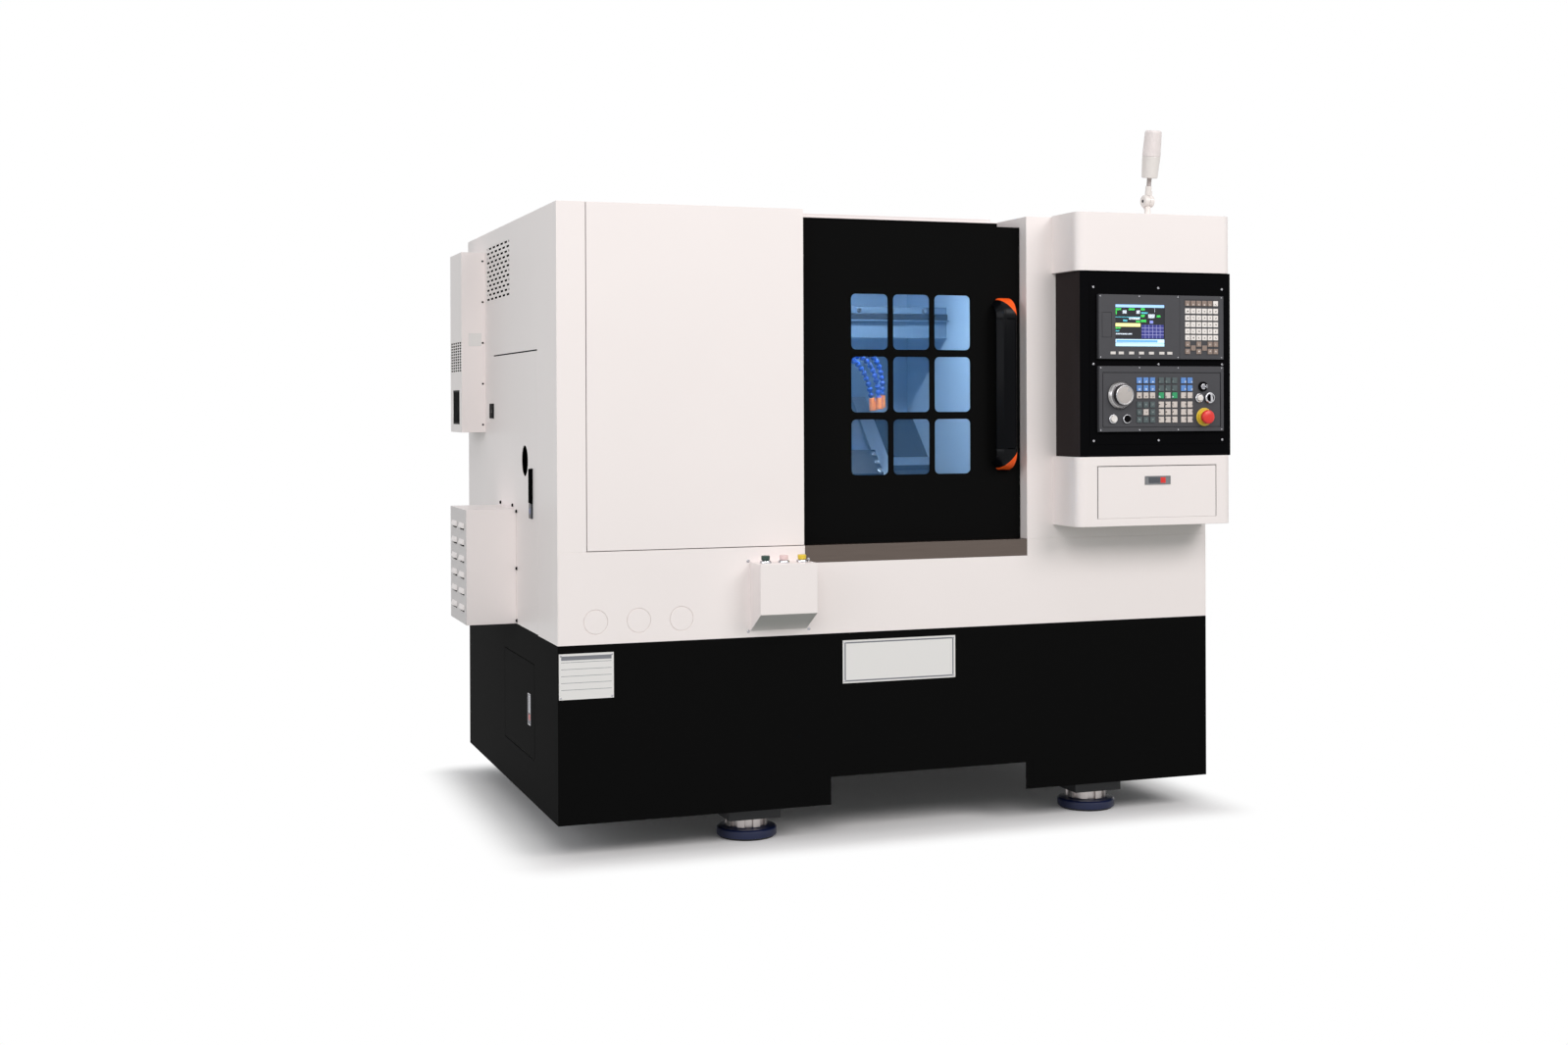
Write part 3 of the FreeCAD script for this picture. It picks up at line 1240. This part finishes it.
# Machine operator panel: two blocks of three key rows, in three groups, and the stems' bores.
panel = Piece("operator_panel")
panel.pad("XZ", face_y, S.bezel_depth, Outline().rectangle(panel_x, panel_z, S.unit_width, S.panel_height))
panel.fillet(S.bezel_edge, lambda edge: edge.CenterOfMass.y < face_y.number + 1, "Chamfer")
bores = Outline()
for across, rise, stem in controls.values():
    bores.many_sided(panel_x + across, panel_z + rise, stem + S.control_gap, STEM_SIDES)
panel.pocket("XZ", face_y - 1, S.bezel_depth + 2, bores)
key_x = panel_x + S.panel_key_left
for block in range(2):
    low = panel_z + S.panel_key_rise + block * (3 * S.panel_key_pitch + S.panel_key_gap)
    keys = Outline()
    for group, columns in enumerate((3, 3, 2)):
        for i in range(columns):
            keys.rectangle(key_x + group * S.panel_group_pitch + i * S.panel_key_pitch, low,
                           S.key_side, S.key_side)
    panel.pad("XZ", key_y, S.key_depth, keys)
    panel.repeat("Z", 2 * S.panel_key_pitch, 3)

# Controls on the operator panel: the hand wheel, two buttons, the emergency stop, a key switch and a
# selector, each with a round stem in the panel.
key_axis, knob_axis = (panel_x + S.key_switch_across), (panel_x + S.selector_across)
knobs = {
    "handwheel": (S.wheel_radius, S.wheel_height, 32, S.gauge),
    "start_button": (S.button_radius, S.button_height, BUTTON_SIDES, 1),
    "hold_button": (S.button_radius, S.button_height, BUTTON_SIDES, 1),
    "emergency_stop": (S.stop_radius, S.stop_gap + S.stop_head, PAD_SIDES, S.stop_head / 3),
    "key_switch": (S.button_radius, S.button_height, BUTTON_SIDES, 1),
    "selector": (S.selector_radius, S.selector_height / 2, BUTTON_SIDES, 1),
}
turned = {}
for name, (across, rise, stem) in controls.items():
    radius, height, sides, edge_size = knobs[name]
    gap = S.stop_gap if name == "emergency_stop" else S.fit_gap
    knob = turned[name] = Piece(name)
    centre = (panel_x + across, panel_z + rise)
    knob.pad("XZ", face_y - height, height - gap, Outline().many_sided(*centre, radius, sides))
    knob.pad("XZ", face_y - gap, gap + S.stem_length, Outline().many_sided(*centre, stem, STEM_SIDES))
    tip = (face_y - height).number
    knob.fillet(edge_size, lambda edge: edge.BoundBox.YMax < tip + 0.01, "Chamfer")
blade_y = face_y - S.button_height - S.key_reach
turned["key_switch"].pad("XZ", blade_y, S.key_reach, Outline().rectangle(
    key_axis - S.key_thickness / 2, panel_z + S.key_switch_rise - S.button_radius / 2,
    S.key_thickness, S.button_radius))
bar_width, bar_height = S.selector_radius / 2, S.selector_radius * 1.5
turned["selector"].pad("XZ", face_y - S.selector_height, S.selector_height / 2, Outline().rectangle(
    knob_axis - bar_width / 2, panel_z + S.selector_rise - bar_height / 2, bar_width, bar_height))

# Signal lamp on the upper housing: a foot with half a knuckle, and the lamp that folds forward on it.
lamp_x = place("lamp_x", left + S.lamp_across)
lamp_y = place("lamp_y", front - S.lamp_forward)
lamp_z = place("lamp_z", control_top + S.upper_housing_height)
knuckle_z = place("knuckle_z", lamp_z + S.lamp_knuckle_rise)
foot = Piece("lamp_foot")
neck_top = knuckle_z - S.lamp_knuckle_radius - 1
half_width = S.lamp_knuckle_width - S.fit_gap / 2
foot.pad("XY", lamp_z, 2 * S.gauge, Outline().many_sided(lamp_x, lamp_y, S.lamp_low_radius, PAD_SIDES))
foot.pad("XY", lamp_z, neck_top - lamp_z,
         Outline().many_sided(lamp_x, lamp_y, S.lamp_neck_radius, STEM_SIDES))
foot.pad("XY", neck_top - S.gauge, knuckle_z - neck_top, Outline().rectangle(
    lamp_x - S.lamp_neck_radius, lamp_y - S.lamp_neck_radius, S.lamp_neck_radius - S.fit_gap / 2,
    2 * S.lamp_neck_radius))
foot.pad("YZ", lamp_x - S.lamp_knuckle_width, half_width,
         Outline().many_sided(lamp_y, knuckle_z, S.lamp_knuckle_radius, PAD_SIDES))
lean = {"origin": (lamp_x, lamp_y, knuckle_z), "tilt": S.lamp_lean}
lean_turn = math.radians(S.lamp_lean.number)
dome_top = knuckle_z.number + S.lamp_top.number * math.cos(lean_turn) - S.lamp_radius.number / 4
zero = Dim.of(0)
neck_low = S.lamp_knuckle_radius + 1
post = Piece("lamp_post", **lean)
post.pad("YZ", S.fit_gap / 2, half_width,
         Outline().many_sided(zero, zero, S.lamp_knuckle_radius, PAD_SIDES))
post.pad("XY", 0, S.lamp_neck_height, Outline().rectangle(
    S.fit_gap / 2, -S.lamp_neck_radius, S.lamp_neck_radius, 2 * S.lamp_neck_radius))
post.pad("XY", neck_low, S.lamp_neck_height - neck_low,
         Outline().many_sided(zero, zero, S.lamp_neck_radius, STEM_SIDES))
post.pad("XY", neck_low, S.lamp_rod_top - neck_low,
         Outline().many_sided(zero, zero, S.lamp_rod_radius, STEM_SIDES))
post.pad("XY", S.lamp_rod_top, S.lamp_base_top - S.lamp_rod_top,
         Outline().many_sided(zero, zero, S.lamp_low_radius, PAD_SIDES))
dome = Piece("lamp_dome", **lean)
dome.pad("XY", S.lamp_base_top, S.lamp_top - S.lamp_base_top,
         Outline().many_sided(zero, zero, S.lamp_radius, PAD_SIDES))
dome.fillet(S.lamp_crown, lambda edge: edge.BoundBox.ZMin > dome_top, "Chamfer")

# Coolant hoses standing on the cross slide beside the tool block, each with its nozzle.
hoses = Piece("coolant_hoses", **slope)
rise = slide_top + S.hose_height
for i in range(3):
    spot = (slide_x + S.hose_left, S.hose_low + i * S.hose_pitch)
    hoses.pad("XY", slide_top, S.hose_height, Outline().many_sided(*spot, S.hose_radius, STEM_SIDES))
    hoses.pad("XY", rise, S.nozzle_length, Outline().many_sided(*spot, S.hose_radius * 0.6, STEM_SIDES))

# Coolant tank on the base under the tray, and the plate of drives behind the cabinet's rear door.
tank_x = place("tank_x", left + S.tank_left)
tank_y = place("tank_y", base_y + S.panel_seam)
tank = Piece("coolant_tank")
tank.pad("XY", base_top, S.tank_height, Outline().rectangle(tank_x, tank_y, S.tank_length, S.tank_depth))
tank.pocket("XY", base_top + S.gauge, S.tank_height, Outline().rectangle(
    tank_x + S.gauge, tank_y + S.gauge, S.tank_length - 2 * S.gauge, S.tank_depth - 2 * S.gauge))
plate_x = place("plate_x", left + S.plate_left)
plate_y = place("plate_y", head_y + 2 * S.bed_crown)
plate_z = place("plate_z", skirt_z + S.plate_rise)
electrics = Piece("electrical_plate")
electrics.pad("XZ", plate_y, S.gauge, Outline().rectangle(plate_x, plate_z, S.plate_length, S.plate_height))
drives = Outline()
drive_pitch = S.plate_length / S.drive_count
for i in range(int(S.drive_count.number)):
    drives.rectangle(plate_x + (i + 0.5) * drive_pitch - S.drive_width / 2,
                     plate_z + (S.plate_height - S.drive_height) / 2, S.drive_width, S.drive_height)
electrics.pad("XZ", plate_y + S.gauge, S.drive_depth, drives)

# Every object is checked before any piece is written.
doc.recompute()
for thing in doc.Objects:
    if "Invalid" in thing.State or "Error" in thing.State:
        raise ValueError(f"{thing.Name} does not build: {thing.State}")
for piece in pieces:
    shape = piece.body.Shape
    if shape.isNull() or not shape.isValid():
        raise ValueError(f"{piece.label} has no valid shape")
for piece in pieces:
    piece.body.Shape.exportStep(f"parts/{piece.label}.step")
